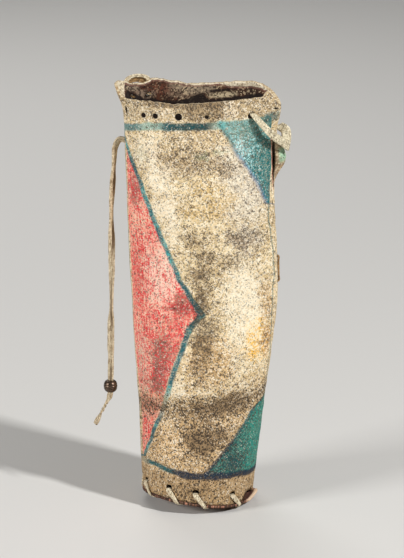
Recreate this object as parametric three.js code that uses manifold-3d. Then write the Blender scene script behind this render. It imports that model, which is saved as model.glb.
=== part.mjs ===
// Rawhide case: one painted hide rolled into a tube, lapped and laced down its right side, and
// whip-stitched to a dished rawhide base. The base is round and the mouth is pressed flat, so the
// tube widens upwards while its girth stays the same.
// Millimetres, +Z up, front towards -Y, origin in the middle of the base's underside.
import * as THREE from 'three';
import { mergeVertices } from 'three/addons/utils/BufferGeometryUtils.js';
import Module from 'manifold-3d';

const wasm = await Module();
wasm.setup();

const hideThickness = 2.2;
const fitGap = 0.3; // clear space wherever two pieces meet

// The tube, from its foot to its rim: size from front to back, and how far it leans to the right.
const baseDiameter = 100;
const seatHeight = 9;
const creaseHeight = 97;
const creaseDepth = 84;
const creaseLean = 3.1;
const bellyHeight = 200;
const bellyDepth = 61.5;
const bellyLean = 5.7;
const waistHeight = 303;
const waistDepth = 61.5;
const waistLean = 1.9;
const mouthHeight = 363;
const mouthDepth = 52.5;
const mouthLean = 2.3;
const rimDepth = 47;
const rimLean = 1.6;
const mouthPinch = 0.08; // how much narrower the mouth is at its right end

// The rim: the back stands higher than the front, with a flared ear at the left end.
// Places round the girth are in degrees: 0 is the right end, 90 the back, 180 the left, 270 the front.
const backRim = 385;
const frontDrop = 8.5;
const dropTurns = [178, 190, 336, 342]; // where the front's lower rim starts and ends
const earTurn = 176;
const earWidth = 18;
const earRise = 4;
const flareTurn = 172;
const flareWidth = 30;
const earFlare = 6;
const earReach = 26; // how far below the rim the flare starts
const cornerDrop = 16; // the rounded right corner
const cornerWidth = 22;
const cornerFlare = 2;
const cornerReach = 24; // how far below the rim's corner the flare starts
const humpTurn = 134; // the back rim's low hump beside the loop
const humpWidth = 20;
const humpRise = 4;

// The soft crease across the front.
const creaseTurns = [182, 225, 310, 356];
const creaseMiddle = 270;
const creaseClimb = 0.08; // millimetres for each degree towards the right
const creaseSink = 4.5;
const creaseSpread = 15;

// The lap: the left edge of the hide is tucked under the right one.
const lapTuck = 6;
const lapMargin = 20;
const lapRamp = 10;
const lapEase = 2; // from the outer edge to where the tucked layer starts to climb
const lipLift = 12.5; // the loose stretch above the stitches, torn free along its front, stands out
const lipHeight = 320;
const lipReach = 23;
const lipRoot = -7; // along the hide from the right-hand end: where it starts to stand out
const lipFull = 7;
const tear = [[347.5, 342], [354.5, 297], [355.5, 300], [351.5, 343]]; // corners, in degrees and heights
const bareSlit = { turn: 351.7, height: 281.5, width: 1.4, tall: 5 }; // a stitch hole without its thong

// The base: a flat middle, and a warped edge lifted clear of the ground.
const baseLip = 0.8; // how far the base stands out past the tube
const flatRadius = 20;
const seatInset = 4.5; // the level ring that the tube stands on
const edgeLift = 7;
const edgeTilt = 2.5;
const edgeTiltTurn = 215;
const edgeSaddle = 2.5;
const edgeSaddleTurn = 5;
const curlTurn = 348;
const curlWidth = 20;
const curlLift = 5;
const curlOut = 4;
const notchTurn = 338; // above the curl a bite is torn out of the tube's foot
const notchWidth = 15;
const notchRise = 7;

// Thongs.
const thongThickness = 1.6;
const thongSlack = 0.5; // further off where a thong crosses a curve or an edge
const laceWidth = 4.6;
const seamWidth = 3.6;
const tieWidth = 6.2;
const loopWidth = 3.2;
const holeEase = 1.4; // a hole is wider than its thong by this

const laceTurns = [197, 238, 267, 308, 391, 424, 458, 491, 525];
const laceRise = 10; // holes above the tube's foot
const laceSlant = 12; // how far round each strand slants on its way down
const laceInset = 4.3; // holes in the base, inside the tube
const laceLag = 3; // the base's holes stand this much further round than the strand
const laceSlack = 5; // how far a strand rises inside before it goes on
const laceLead = 6.5; // how far below its hole a strand starts inside
const thongEnd = 6; // a thong's cut end inside the wall

const seamTurn = 374; // the stitches run down the back of the lap
const seamBottom = 42;
const seamTop = 235;
const seamPitch = 55;
const seamStitch = 23;
const seamLead = 2.7; // from a hole's edge to where the thong lies flat
const seamWander = 15; // the top stitch comes this many degrees forward
const seamWanderHeight = 218;
const seamWanderReach = 60;

const rimRow = 12; // punched holes below the front rim
const rimHoles = [[211.5, 4.5], [224, 5], [248, 6.4], [277, 3.6]];
const rimSlits = [
  { turn: 190, drop: 9.5, width: 1.5, tall: 6.8 },
  { turn: 351, drop: 8.5, width: 6, tall: 1.4 },
];

const tieFrontTurn = 325;
const tieBackTurn = 31;
const tieDrop = 9; // its front hole below the front rim
const tieSkew = 8; // its back hole below its front one
const tieHang = 38; // the bottom of its loop below that hole
const tieReach = 10; // how far the loop stands out from the tube's side
const tieFrontLay = [[6, 6, 0.8], [18, 19, 2.5]]; // degrees on, and millimetres down and off the wall
const tieSideLay = [[-3, -6, 4], [0, 0, 0], [-0.5, 6, 5], [-1.5, 9, 19]]; // from the loop's lowest point
const tieBackLay = [-7, 4, 3];

const loopTurns = [162, 144];
const loopDrop = 12; // its holes below the rim
const loopRise = 5.8; // its crown above the rim
const loopShoulder = 3; // its bends below the crown, and from its holes
const loopLay = 5; // how far above its holes it lies along the wall

const hangTurn = 181;
const hangDrop = 39; // its hole below the front rim
const hangDiameter = 3.4;
const hangRoute = [[7, 0], [0, 0], [-6, 0.5], [-11, -6], [-13, -22], [-14, -70], [-14.5, -150],
  [-15, -222], [-15.6, -240], [-20.5, -252], [-29, -270]]; // sideways and upwards from its hole
const beadDiameter = 12.4;
const beadLength = 11;
const beadSpot = 0.845; // share of the thong's length
const beadMouth = 1.2; // the flat ring at each end of the bead
const beadRound = 0.9;
const scoreDepth = 0.45;
const scoreWidth = 0.9;
const scorePlace = 1.4; // each scored ring from the bead's middle

const sheetColumns = 56;
const sheetRows = 20;
const baseFacets = 40;
const beadFacets = 16;

const girth = Math.PI * (baseDiameter - hideThickness);
const half = hideThickness / 2;
const lapStep = hideThickness + fitGap;
const frontRim = backRim - frontDrop;
const baseRadius = baseDiameter / 2 + baseLip;
const curlRadius = baseRadius - baseLip / 2;
const seatRadius = baseDiameter / 2 - seatInset;
const baseHoleRadius = baseDiameter / 2 - hideThickness - laceInset;
const laceOff = fitGap + thongThickness / 2; // from a face to the middle of a thong lying on it
const upward = new THREE.Vector3(0, 0, 1);
const downward = new THREE.Vector3(0, 0, -1);

const smooth = THREE.MathUtils.smoothstep;
const degrees = (angle) => angle * THREE.MathUtils.DEG2RAD;
const turned = (a, b) => Math.abs(THREE.MathUtils.euclideanModulo(a - b + 180, 360) - 180);
const bump = (distance, reach) => (distance < reach ? (1 + Math.cos(Math.PI * distance / reach)) / 2 : 0);
const between = (turn, [start, full, fade, end]) => {
  const t = THREE.MathUtils.euclideanModulo(turn, 360);
  return smooth(t, start, full) * (1 - smooth(t, fade, end));
};

// Solids

// Skins a row of closed rings, and closes both ends by pairing each end ring's two halves.
function loft(rings) {
  const n = rings[0].length;
  const last = (rings.length - 1) * n;
  const index = [];
  for (let r = 0; r < rings.length - 1; r++) {
    for (let k = 0; k < n; k++) {
      const a = r * n + k;
      const b = r * n + (k + 1) % n;
      index.push(a, b, b + n, a, b + n, a + n);
    }
  }
  for (let k = 0; k < n / 2 - 1; k++) {
    const [a, b, c, d] = [k, k + 1, n - 2 - k, n - 1 - k];
    index.push(c, b, a, d, c, a, last + a, last + b, last + c, last + a, last + c, last + d);
  }
  const geometry = new THREE.BufferGeometry().setFromPoints(rings.flat());
  geometry.setIndex(index);
  return geometry;
}

function solidOf(geometry) {
  const bare = new THREE.BufferGeometry();
  bare.setAttribute('position', geometry.getAttribute('position'));
  bare.setIndex(geometry.getIndex());
  const merged = mergeVertices(bare, 1e-3);
  const corners = merged.getIndex().array;
  const kept = [];
  for (let i = 0; i < corners.length; i += 3) {
    const [a, b, c] = corners.slice(i, i + 3);
    if (a !== b && b !== c && c !== a) kept.push(a, b, c);
  }
  return new wasm.Manifold(new wasm.Mesh({
    numProp: 3,
    vertProperties: new Float32Array(merged.getAttribute('position').array),
    triVerts: new Uint32Array(kept),
  }));
}

function geometryOf(solid) {
  const mesh = solid.getMesh();
  const geometry = new THREE.BufferGeometry();
  geometry.setAttribute('position', new THREE.BufferAttribute(new Float32Array(mesh.vertProperties), 3));
  geometry.setIndex(new THREE.BufferAttribute(new Uint32Array(mesh.triVerts), 1));
  return geometry;
}

function punch(geometry, holes) {
  return geometryOf(solidOf(geometry).subtract(wasm.Manifold.union(holes.map(solidOf))));
}

function punchAt(centre, axis, diameter, length) {
  const turn = new THREE.Quaternion().setFromUnitVectors(new THREE.Vector3(0, 1, 0), axis);
  const radius = diameter / 2 / Math.cos(Math.PI / 8); // eight flats, this far apart
  return new THREE.CylinderGeometry(radius, radius, length, 8)
    .applyQuaternion(turn).translate(centre.x, centre.y, centre.z);
}

// A flat thong through its stops. Each stop says where it is and which way its outer face looks.
function thong(stops, width, perStop) {
  const path = new THREE.CatmullRomCurve3(stops.map((stop) => stop.at));
  const steps = Math.round((stops.length - 1) * perStop);
  const outline = [[0.5, 0], [0.36, 0.5], [-0.36, 0.5], [-0.5, 0], [-0.36, -0.5], [0.36, -0.5]];
  const rings = [];
  for (let i = 0; i <= steps; i++) {
    const t = i / steps;
    const spot = Math.min(t * (stops.length - 1), stops.length - 1.000001);
    const k = Math.floor(spot);
    const along = path.getTangent(t);
    const face = stops[k].face.clone().lerp(stops[k + 1].face, spot - k).projectOnPlane(along).normalize();
    const across = face.clone().cross(along);
    const middle = path.getPoint(t);
    rings.push(outline.map(([u, v]) => middle.clone()
      .addScaledVector(across, u * width).addScaledVector(face, v * thongThickness)));
  }
  return loft(rings);
}

// The rolled hide

const stations = [
  [seatHeight, baseDiameter, 0], [creaseHeight, creaseDepth, creaseLean],
  [bellyHeight, bellyDepth, bellyLean], [waistHeight, waistDepth, waistLean],
  [mouthHeight, mouthDepth, mouthLean], [backRim + earRise, rimDepth, rimLean],
];
const pressed = new THREE.CubicInterpolant(
  stations.map((s) => s[0]), stations.flatMap((s) => [s[1], s[2]]), 2, new Float64Array(2));

const ellipseGirth = (a, b) => Math.PI * (3 * (a + b) - Math.sqrt((3 * a + b) * (a + 3 * b)));

// The half width that keeps the hide's girth where it is pressed to this half depth.
function halfWidthFor(halfDepth) {
  let [low, high] = [0, girth / 3];
  for (let i = 0; i < 48; i++) {
    const middle = (low + high) / 2;
    if (ellipseGirth(middle, halfDepth) < girth) low = middle;
    else high = middle;
  }
  return low;
}

const sectionSteps = 180;
const sections = new Map();

// The hide's middle line at a height, anticlockwise from the right-hand end, with lengths along it.
function section(height) {
  if (sections.has(height)) return sections.get(height);
  const [depth, lean] = pressed.evaluate(height);
  const b = depth / 2 - half;
  const a = halfWidthFor(b);
  const climb = (height - creaseHeight) / (backRim - creaseHeight);
  const pinch = mouthPinch * THREE.MathUtils.clamp(climb, 0, 1);
  const points = [];
  const lengths = [0];
  for (let i = 0; i <= sectionSteps; i++) {
    const angle = 2 * Math.PI * i / sectionSteps;
    const y = b * Math.sin(angle) * (1 - pinch * Math.cos(angle));
    points.push(new THREE.Vector2(lean + a * Math.cos(angle), y));
    if (i) lengths.push(lengths[i - 1] + points[i].distanceTo(points[i - 1]));
  }
  sections.set(height, { points, lengths });
  return sections.get(height);
}

const rimHeight = (turn) => backRim - frontDrop * between(turn, dropTurns)
  + earRise * bump(turned(turn, earTurn), earWidth) + humpRise * bump(turned(turn, humpTurn), humpWidth)
  - cornerDrop * bump(turned(turn, 0), cornerWidth);

// How far the wall is pushed out of its rolled shape: the flared ear and corner, and the crease.
function push(turn, height) {
  const up = smooth(height, backRim + earRise - earReach, backRim + earRise);
  const ear = earFlare * up * bump(turned(turn, flareTurn), flareWidth);
  const corner = cornerFlare * smooth(height, backRim - cornerDrop - cornerReach, backRim - cornerDrop)
    * bump(turned(turn, 0), cornerWidth);
  const away = (height - creaseHeight - creaseClimb * (turn - creaseMiddle)) / creaseSpread;
  return ear + corner - creaseSink * Math.exp(-away * away) * between(turn, creaseTurns);
}

// A point of the hide's middle surface, by degrees round the girth and by height.
function middle(turn, height) {
  const { points, lengths } = section(height);
  const length = THREE.MathUtils.euclideanModulo(turn, 360) / 360 * lengths[sectionSteps];
  let k = 0;
  while (k < sectionSteps - 1 && lengths[k + 1] < length) k++;
  const share = (length - lengths[k]) / (lengths[k + 1] - lengths[k]);
  const spot = points[k].clone().lerp(points[k + 1], share);
  const tangent = points[k + 1].clone().sub(points[k]).normalize();
  const out = push(turn, height);
  return new THREE.Vector3(spot.x + tangent.y * out, spot.y - tangent.x * out, height);
}

function outward(turn, height) {
  const round = middle(turn + 1, height).sub(middle(turn - 1, height));
  const rise = middle(turn, height + 1).sub(middle(turn, height - 1));
  return round.cross(rise).normalize();
}

const wall = (turn, height, offset) => middle(turn, height).addScaledVector(outward(turn, height), offset);

// The base's lift above its flat middle, and its outline.
const edgeRadius = (turn) => baseRadius + curlOut * bump(turned(turn, curlTurn), curlWidth);
const edgeHeight = (turn) => edgeLift + edgeTilt * Math.cos(degrees(turn - edgeTiltTurn))
  + edgeSaddle * Math.sin(degrees(2 * (turn - edgeSaddleTurn)));
const baseRise = (turn, radius) => edgeHeight(turn) * smooth(radius, flatRadius, seatRadius)
  + curlLift * bump(turned(turn, curlTurn), curlWidth) * smooth(radius, curlRadius, baseRadius + curlOut);
const around = (turn, radius, height) => new THREE.Vector3(
  radius * Math.cos(degrees(turn)), radius * Math.sin(degrees(turn)), height);
const footHeight = (turn) => edgeHeight(turn) + hideThickness + fitGap
  + notchRise * bump(turned(turn, notchTurn), notchWidth);

// The tucked edge lies one thickness further in.
const rampStart = lapMargin + lapEase;
const tuckedIn = (along) => -lapStep * (1 - smooth(along, rampStart, rampStart + lapRamp));
const lip = (along, height) => lipLift * bump(Math.abs(height - lipHeight), lipReach)
  * smooth(along, girth + lipRoot, girth + lipFull);
const innerFace = (turn) => {
  const along = THREE.MathUtils.euclideanModulo(turn, 360) / 360 * girth;
  return -half - (along > girth - lapTuck - 2 * lapEase || along < lapMargin + lapRamp ? lapStep : 0);
};

function hideSheet() {
  const at = (column, row, face) => {
    const along = -lapTuck + (lapTuck + girth + lapMargin) * column / sheetColumns;
    const turn = 360 * along / girth;
    const height = THREE.MathUtils.lerp(footHeight(turn), rimHeight(turn), row / sheetRows);
    return wall(turn, height, tuckedIn(along) + lip(along, height) + face * half);
  };
  const columns = [...Array(sheetColumns + 1).keys()];
  const rings = [...Array(sheetRows + 1).keys()].map((row) => [
    ...columns.map((c) => at(c, row, 1)), ...columns.toReversed().map((c) => at(c, row, -1))]);
  return loft(rings);
}

const wallPunch = (turn, height, diameter) => punchAt(
  wall(turn, height, (half + innerFace(turn)) / 2), outward(turn, height), diameter, 4 * lapStep);

// A straight-sided cut through the wall, from its corners.
const wallCut = (corners) => loft([-1, 1].map((side) => corners.map(
  ([turn, height]) => wall(turn, height, side * (lapStep + hideThickness)))));
const slitCut = ({ turn, height, width, tall }) => {
  const reach = 180 * width / girth;
  return wallCut([[turn - reach, height + tall / 2], [turn - reach, height - tall / 2],
    [turn + reach, height - tall / 2], [turn + reach, height + tall / 2]]);
};

const laceHole = (turn) => footHeight(turn) + laceRise;
const tieFrontHeight = frontRim - tieDrop;
const tieBackHeight = tieFrontHeight - tieSkew;
const loopHeights = loopTurns.map((turn) => rimHeight(turn) - loopDrop);
const hangHeight = frontRim - hangDrop;
const seamCount = Math.floor((seamTop - seamBottom - seamStitch) / seamPitch) + 1;
const seamStarts = [...Array(seamCount).keys()].map((k) => seamBottom + k * seamPitch);
const seamAt = (height) => seamTurn
  - seamWander * bump(Math.abs(height - seamWanderHeight), seamWanderReach);

function hideTube() {
  const holes = [
    ...rimHoles.map(([turn, diameter]) => wallPunch(turn, frontRim - rimRow, diameter)),
    ...laceTurns.map((turn) => wallPunch(turn, laceHole(turn), laceWidth + holeEase)),
    ...seamStarts.flatMap((start) => [start, start + seamStitch].map(
      (height) => wallPunch(seamAt(height), height, seamWidth + holeEase))),
    wallPunch(tieFrontTurn, tieFrontHeight, tieWidth + holeEase),
    wallPunch(tieBackTurn, tieBackHeight, tieWidth + holeEase),
    ...loopTurns.map((turn, k) => wallPunch(turn, loopHeights[k], loopWidth + holeEase)),
    wallPunch(hangTurn, hangHeight, hangDiameter + holeEase),
    ...rimSlits.map((slit) => slitCut({ ...slit, height: frontRim - slit.drop })),
    slitCut(bareSlit),
    wallCut(tear),
  ];
  return punch(hideSheet(), holes);
}

// The base

const baseHoleTurn = (turn) => turn + laceSlant + laceLag;

function baseDisc() {
  const slope = [0, 0.33, 0.67, 1].map((share) => THREE.MathUtils.lerp(flatRadius, seatRadius, share));
  const radii = [0, ...slope, curlRadius, baseRadius];
  const profile = [...radii.map((r) => new THREE.Vector2(r, 0)),
    ...radii.toReversed().map((r) => new THREE.Vector2(r, hideThickness))];
  const disc = new THREE.LatheGeometry(profile, baseFacets).rotateX(Math.PI / 2);
  const position = disc.getAttribute('position');
  for (let i = 0; i < position.count; i++) {
    const [x, y] = [position.getX(i), position.getY(i)];
    const turn = Math.atan2(y, x) / THREE.MathUtils.DEG2RAD;
    const radius = Math.hypot(x, y);
    const reach = radius > baseRadius - 0.01 ? edgeRadius(turn) : radius;
    const spot = around(turn, reach, position.getZ(i) + baseRise(turn, reach));
    position.setXYZ(i, spot.x, spot.y, spot.z);
  }
  const holes = laceTurns.map((turn) => punchAt(
    around(baseHoleTurn(turn), baseHoleRadius, baseRise(baseHoleTurn(turn), baseHoleRadius) + half),
    upward, laceWidth + holeEase, 4 * lapStep));
  return punch(disc, holes);
}

// Thongs

// The two stops where a thong passes straight through the wall. Its face looks along bend in the
// hole, and towards or away from the wall's outside (side 1 or -1) before it goes in.
function crossing(turn, height, bend, side) {
  const out = outward(turn, height);
  const stop = (offset, look) => ({
    at: wall(turn, height, offset), face: bend.clone().addScaledVector(out, look).normalize() });
  return [stop(innerFace(turn) - laceOff, side), stop(half + laceOff, 1)];
}

// One turn of the whip stitch: out through the wall, down over the base's edge, and up through it.
function laceStops(turn) {
  const edge = turn + laceSlant;
  const hole = laceHole(turn);
  const up = baseHoleTurn(turn);
  const [edgeR, edgeZ] = [edgeRadius(edge), baseRise(edge, edgeRadius(edge))];
  const upZ = baseRise(up, baseHoleRadius);
  const [underTurn, underR] = [(edge + up) / 2, (edgeR + baseHoleRadius) / 2];
  const edgeOff = laceOff + thongSlack;
  const start = wall(turn - laceLag, hole - laceLead, innerFace(turn) - edgeOff);
  const radial = around(edge, 1, 0);
  const inwards = around(up, -1, 0);
  const strand = (share) => ({
    at: wall(turn + laceSlant * share, THREE.MathUtils.lerp(hole, edgeZ + half, share), half + edgeOff),
    face: outward(turn, hole),
  });
  return [
    { at: start, face: outward(turn, hole).negate() },
    ...crossing(turn, hole, upward, -1),
    strand(0.4),
    strand(0.75),
    { at: around(edge, edgeR + edgeOff, edgeZ + half), face: radial },
    { at: around(edge, edgeR, edgeZ - edgeOff), face: radial.clone().add(downward) },
    { at: around(underTurn, underR, baseRise(underTurn, underR) - edgeOff), face: downward },
    { at: around(up, baseHoleRadius, upZ - laceOff), face: downward.clone().add(inwards) },
    { at: around(up, baseHoleRadius, upZ + hideThickness + laceOff), face: inwards },
    { at: around(up + laceLag, baseHoleRadius, upZ + hideThickness + laceSlack), face: inwards },
  ];
}

function baseLacing() {
  return thong(laceTurns.flatMap(laceStops), laceWidth, 1.3);
}

// A running stitch through both layers of the lap.
function seamLacing() {
  const lie = (height, offset) => ({
    at: wall(seamAt(height), height, offset), face: outward(seamAt(height), height) });
  const [inside, outside] = [innerFace(seamTurn) - laceOff - thongSlack, half + laceOff];
  const clear = (seamWidth + holeEase) / 2 + seamLead;
  const stops = seamStarts.flatMap((start) => {
    const end = start + seamStitch;
    return [
      lie(start - clear, inside),
      ...crossing(seamAt(start), start, downward, 1),
      lie(start + clear, outside),
      lie(end - clear, outside),
      ...crossing(seamAt(end), end, upward, 1).reverse(),
      lie(end + clear, inside),
    ];
  });
  return thong(stops, seamWidth, 1.6);
}

// A loose loop of thong round the right-hand corner, from the front wall to the back one.
function cornerTie() {
  const front = outward(tieFrontTurn, tieFrontHeight);
  const back = outward(tieBackTurn, tieBackHeight);
  const side = wall(0, tieFrontHeight - tieHang, half + tieReach);
  const right = new THREE.Vector3(1, 0, 0);
  const sideFaces = [front.clone().add(right), right, right, right];
  const [backOn, backDown, backOff] = tieBackLay;
  const stops = [
    { at: wall(tieFrontTurn, tieFrontHeight, -half - thongEnd), face: upward },
    ...crossing(tieFrontTurn, tieFrontHeight, upward, 0),
    ...tieFrontLay.map(([on, down, off]) => (
      { at: wall(tieFrontTurn + on, tieFrontHeight - down, half + laceOff + off), face: front })),
    ...tieSideLay.map((spot, k) => (
      { at: side.clone().add(new THREE.Vector3(...spot)), face: sideFaces[k] })),
    { at: wall(tieBackTurn + backOn, tieBackHeight - backDown, half + laceOff + backOff), face: back },
    ...crossing(tieBackTurn, tieBackHeight, upward, 0).reverse(),
    { at: wall(tieBackTurn, tieBackHeight, -half - thongEnd), face: upward },
  ];
  return thong(stops, tieWidth, 2);
}

// A small loop of thong standing over the back of the rim, near its left end.
function rimLoop() {
  const [first, second] = loopTurns;
  const [low, high] = loopHeights;
  const middleTurn = (first + second) / 2;
  const crown = rimHeight(middleTurn) + loopRise;
  const lay = half + laceOff + thongSlack;
  const face = (turn) => outward(turn, Math.min(low, high));
  const over = (turn, height) => wall(turn, Math.min(height, rimHeight(turn)), lay).setZ(height);
  const stops = [
    { at: wall(first, low, -half - thongEnd), face: downward },
    ...crossing(first, low, downward, 0),
    { at: wall(first, low + loopLay, lay), face: face(first) },
    { at: over(first - loopShoulder, crown - loopShoulder), face: face(first) },
    { at: over(middleTurn, crown), face: face(middleTurn) },
    { at: over(second + loopShoulder, crown - loopShoulder), face: face(second) },
    { at: wall(second, high + loopLay, lay), face: face(second) },
    ...crossing(second, high, downward, 0).reverse(),
    { at: wall(second, high, -half - thongEnd), face: downward },
  ];
  return thong(stops, loopWidth, 2.2);
}

// The hanging thong: knotted inside the left wall, out through its hole, and straight down.
const hangHole = wall(hangTurn, hangHeight, 0);
const hangPath = new THREE.CatmullRomCurve3(hangRoute.map(
  ([x, z]) => new THREE.Vector3(hangHole.x + x, hangHole.y, hangHole.z + z)));

function hangingThong() {
  const round = new THREE.Shape().absarc(0, 0, hangDiameter / 2, 0, 2 * Math.PI);
  const strand = new THREE.ExtrudeGeometry(round, {
    steps: 40, curveSegments: 4, extrudePath: hangPath, bevelEnabled: false });
  const knot = new THREE.IcosahedronGeometry(hangDiameter, 1).scale(0.8, 1, 1)
    .translate(hangHole.x + half + fitGap + hangDiameter, hangHole.y, hangHole.z);
  return geometryOf(solidOf(strand).add(solidOf(knot)));
}

// A turned bead with two scored rings.
function bead() {
  const bore = hangDiameter / 2 + fitGap;
  const end = beadLength / 2;
  const radius = beadDiameter / 2;
  const outline = new THREE.SplineCurve([[bore + beadMouth, -end], [radius - beadRound, -end * 0.6],
    [radius, 0], [radius - beadRound, end * 0.6], [bore + beadMouth, end]]
    .map(([r, y]) => new THREE.Vector2(r, y)));
  const scored = (p) => new THREE.Vector2(
    p.x - scoreDepth * bump(Math.abs(Math.abs(p.y) - scorePlace), scoreWidth), p.y);
  const profile = [new THREE.Vector2(bore, -end), ...outline.getPoints(14).map(scored),
    new THREE.Vector2(bore, end), new THREE.Vector2(bore, -end)];
  const along = hangPath.getTangentAt(beadSpot).negate();
  const place = hangPath.getPointAt(beadSpot);
  return new THREE.LatheGeometry(profile, beadFacets)
    .applyQuaternion(new THREE.Quaternion().setFromUnitVectors(new THREE.Vector3(0, 1, 0), along))
    .translate(place.x, place.y, place.z);
}

// Assembly

const part = (name, geometry, color, roughness, metalness = 0) => {
  geometry.computeVertexNormals();
  const mesh = new THREE.Mesh(geometry, new THREE.MeshStandardMaterial({ color, roughness, metalness }));
  mesh.name = name;
  return mesh;
};

const group = new THREE.Group();
group.add(
  part('hide_tube', hideTube(), 0xcdb78f, 0.75),
  part('base_disc', baseDisc(), 0xa8793f, 0.8),
  part('base_lacing', baseLacing(), 0xd8c39a, 0.7),
  part('seam_lacing', seamLacing(), 0x9a7a4c, 0.75),
  part('corner_tie', cornerTie(), 0xc9b184, 0.7),
  part('rim_loop', rimLoop(), 0xd3c09a, 0.7),
  part('hanging_thong', hangingThong(), 0xb89866, 0.75),
  part('bead', bead(), 0x8a6a3a, 0.35, 0.8),
);

export default group;
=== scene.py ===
import math
import bmesh
import bpy
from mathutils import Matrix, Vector, noise


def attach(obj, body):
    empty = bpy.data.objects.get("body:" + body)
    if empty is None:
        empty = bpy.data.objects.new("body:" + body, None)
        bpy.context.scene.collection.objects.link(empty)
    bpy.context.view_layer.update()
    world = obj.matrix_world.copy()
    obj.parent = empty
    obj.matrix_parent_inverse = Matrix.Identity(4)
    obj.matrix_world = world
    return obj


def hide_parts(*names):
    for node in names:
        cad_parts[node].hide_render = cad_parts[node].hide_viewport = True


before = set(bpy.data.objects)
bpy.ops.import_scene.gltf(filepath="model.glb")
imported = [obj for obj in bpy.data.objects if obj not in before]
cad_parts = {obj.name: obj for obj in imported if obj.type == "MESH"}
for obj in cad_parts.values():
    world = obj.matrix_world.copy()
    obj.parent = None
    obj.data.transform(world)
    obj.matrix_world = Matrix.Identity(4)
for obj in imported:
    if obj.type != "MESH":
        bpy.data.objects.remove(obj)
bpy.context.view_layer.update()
scene = bpy.context.scene
mm = 0.001
up = Vector((0, 0, 1))
print("frame loaded")


def smooth(x, low, high):
    share = min(max((x - low) / (high - low), 0), 1)
    return share * share * (3 - 2 * share)


def bump(distance, reach):
    return (1 + math.cos(math.pi * distance / reach)) / 2 if distance < reach else 0


def apart(a, b):  # degrees between two places round the girth
    return abs((a - b + 180) % 360 - 180)


def between(turn, start, full, fade, end):
    return smooth(turn % 360, start, full) * (1 - smooth(turn % 360, fade, end))


def follow(points, x):  # straight lines through points
    for (x0, y0), (x1, y1) in zip(points, points[1:]):
        if x <= x1:
            return y0 + (y1 - y0) * max(x - x0, 0) / (x1 - x0)
    return points[-1][1]


def measured(line):  # the length along a line, up to each of its points
    lengths = [0]
    for one, two in zip(line, line[1:]):
        lengths.append(lengths[-1] + (two - one).length)
    return lengths


# camera and light
view = {
    "target": (0, 0, 0.1945), "distance": 2.9, "elevation": 17.3, "lens": 207.93,
    "shift": (4 / 558, 14.73 / 558), "farthest": 50,
}
target = Vector(view["target"])
tilt = math.radians(view["elevation"])
camera = bpy.data.objects.new("camera", bpy.data.cameras.new("camera"))
camera.location = target + view["distance"] * Vector((0, -math.cos(tilt), math.sin(tilt)))
camera.rotation_euler = (math.pi / 2 - tilt, 0, 0)
camera.data.lens = view["lens"]
camera.data.shift_x, camera.data.shift_y = view["shift"]
camera.data.clip_end = view["farthest"]
scene.collection.objects.link(camera)
scene.camera = camera
scene.view_settings.view_transform = "Standard"

lamps = {
    "key": {"place": (1.9, -1.4, 1.9), "size": 0.2, "power": 78},
    "fill": {"place": (-2.2, -1.2, 1.1), "size": 0.8, "power": 47},
    "back": {"place": (-0.5, 1.8, 1.6), "size": 1.2, "power": 16},
}
worldGlow = 0.08
for name, lamp in lamps.items():
    light = bpy.data.lights.new(name, "AREA")
    light.size = lamp["size"]
    light.energy = lamp["power"]
    lit = bpy.data.objects.new(name, light)
    lit.location = lamp["place"]
    lit.rotation_euler = (target - lit.location).to_track_quat("-Z", "Y").to_euler()
    scene.collection.objects.link(lit)
world = bpy.data.worlds.new("studio")
world.use_nodes = True
backdrop = world.node_tree.nodes["Background"]
backdrop.inputs["Color"].default_value = (1, 1, 1, 1)
backdrop.inputs["Strength"].default_value = worldGlow
scene.world = world
print("camera and light made")


# shader maths
class Wire:
    def __init__(self, socket):
        self.socket = socket

    def node(self, kind, plugs, out=0, **settings):
        tree = self.socket.node.id_data
        made = tree.nodes.new("ShaderNode" + kind)
        for key, value in settings.items():
            setattr(made, key, value)
        for plug, value in plugs.items():
            if isinstance(value, Wire):
                tree.links.new(value.socket, made.inputs[plug])
            else:
                made.inputs[plug].default_value = value
        return Wire(made.outputs[out])

    def maths(self, operation, *values):
        return self.node("Math", dict(enumerate(values)), operation=operation)

    def __add__(self, other):
        return self.maths("ADD", self, other)

    def __sub__(self, other):
        return self.maths("SUBTRACT", self, other)

    def __rsub__(self, other):
        return self.maths("SUBTRACT", other, self)

    def __mul__(self, other):
        return self.maths("MULTIPLY", self, other)

    def __truediv__(self, other):
        return self.maths("DIVIDE", self, other)

    def __rtruediv__(self, other):
        return self.maths("DIVIDE", other, self)

    def __abs__(self):
        return self.maths("ABSOLUTE", self)

    __radd__ = __add__
    __rmul__ = __mul__


def tone(red, green, blue):  # a colour as it looks, from 0 to 255
    return (*[((c / 255 + 0.055) / 1.055) ** 2.4 if c > 10 else c / 3295 for c in (red, green, blue)], 1)


def hues(piece):  # its colours, ready for a shader
    return {name: tone(*shade) for name, shade in piece["tones"].items()}


def rise(value, low, high):
    return value.node("MapRange", {0: value, 1: low, 2: high}, interpolation_type="SMOOTHSTEP")


def band(value, reach, soft):  # 1 where value is within reach of nought
    return 1 - rise(abs(value), reach - soft, reach + soft)


def mixed(share, first, second):
    return share.node("Mix", {0: share, 6: first, 7: second}, out=2, data_type="RGBA")


def axis(place, k):
    return place.node("SeparateXYZ", {0: place}, out=k)


def joined(x, y):
    return x.node("CombineXYZ", {0: x, 1: y, 2: 0.0})


def stored(place, name):  # a value kept on the mesh
    return place.node("Attribute", {}, out=2, attribute_name=name)


def grain(place, size, detail=2, rough=0.5):
    plugs = {"Vector": place, "Scale": 1 / size, "Detail": detail, "Roughness": rough}
    return place.node("TexNoise", plugs)


def cells(place, size):  # three random values for each tiny cell
    plugs = {"Vector": place, "Scale": 1 / size}
    found = place.node("TexVoronoi", plugs, out="Color", voronoi_dimensions="2D")
    return [axis(found, k) for k in range(3)]


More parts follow.
